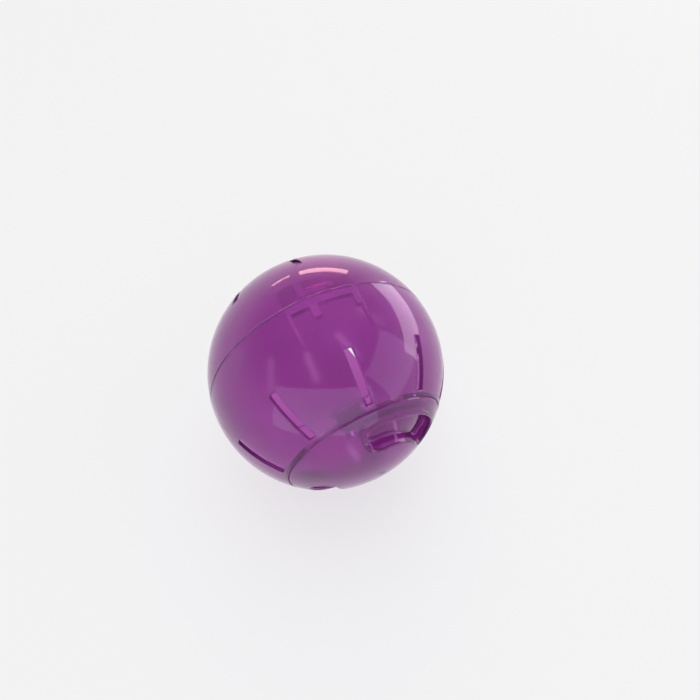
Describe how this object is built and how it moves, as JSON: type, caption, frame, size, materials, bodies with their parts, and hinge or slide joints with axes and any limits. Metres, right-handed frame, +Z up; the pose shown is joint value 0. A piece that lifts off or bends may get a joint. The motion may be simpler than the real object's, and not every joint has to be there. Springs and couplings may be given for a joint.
{
  "type": "hamster ball",
  "caption": "Hollow translucent exercise ball for a small pet: two vented half shells locked together by a bayonet, with a round twist-lock door that has kidney-shaped finger recesses.",
  "frame": {"origin": "centre of the ball", "axes": "-Y out through the middle of the door, along the axis that the door and the halves turn about; the seam between the halves lies in the XZ plane; +Z up"},
  "size_m": [0.127, 0.127, 0.127],
  "materials": {
    "front_shell_plastic": "clear tinted purple polystyrene, polished",
    "rear_shell_plastic": "clear tinted purple polystyrene, polished",
    "door_plastic": "clear tinted purple polystyrene, polished"
  },
  "bodies": {
    "front_half": {"front_shell": "front_shell_plastic"},
    "rear_half": {"rear_shell": "rear_shell_plastic"},
    "twist_door": {"door": "door_plastic"}
  },
  "joints": [
    {"name": "door_twist", "type": "hinge", "parent": "front_half", "child": "twist_door", "pos_m": [0, 0, 0], "axis": [0, -1, 0], "range_deg": [0, 22]},
    {"name": "halves_twist", "type": "hinge", "parent": "front_half", "child": "rear_half", "pos_m": [0, 0, 0], "axis": [0, -1, 0], "range_deg": [0, 12]}
  ]
}
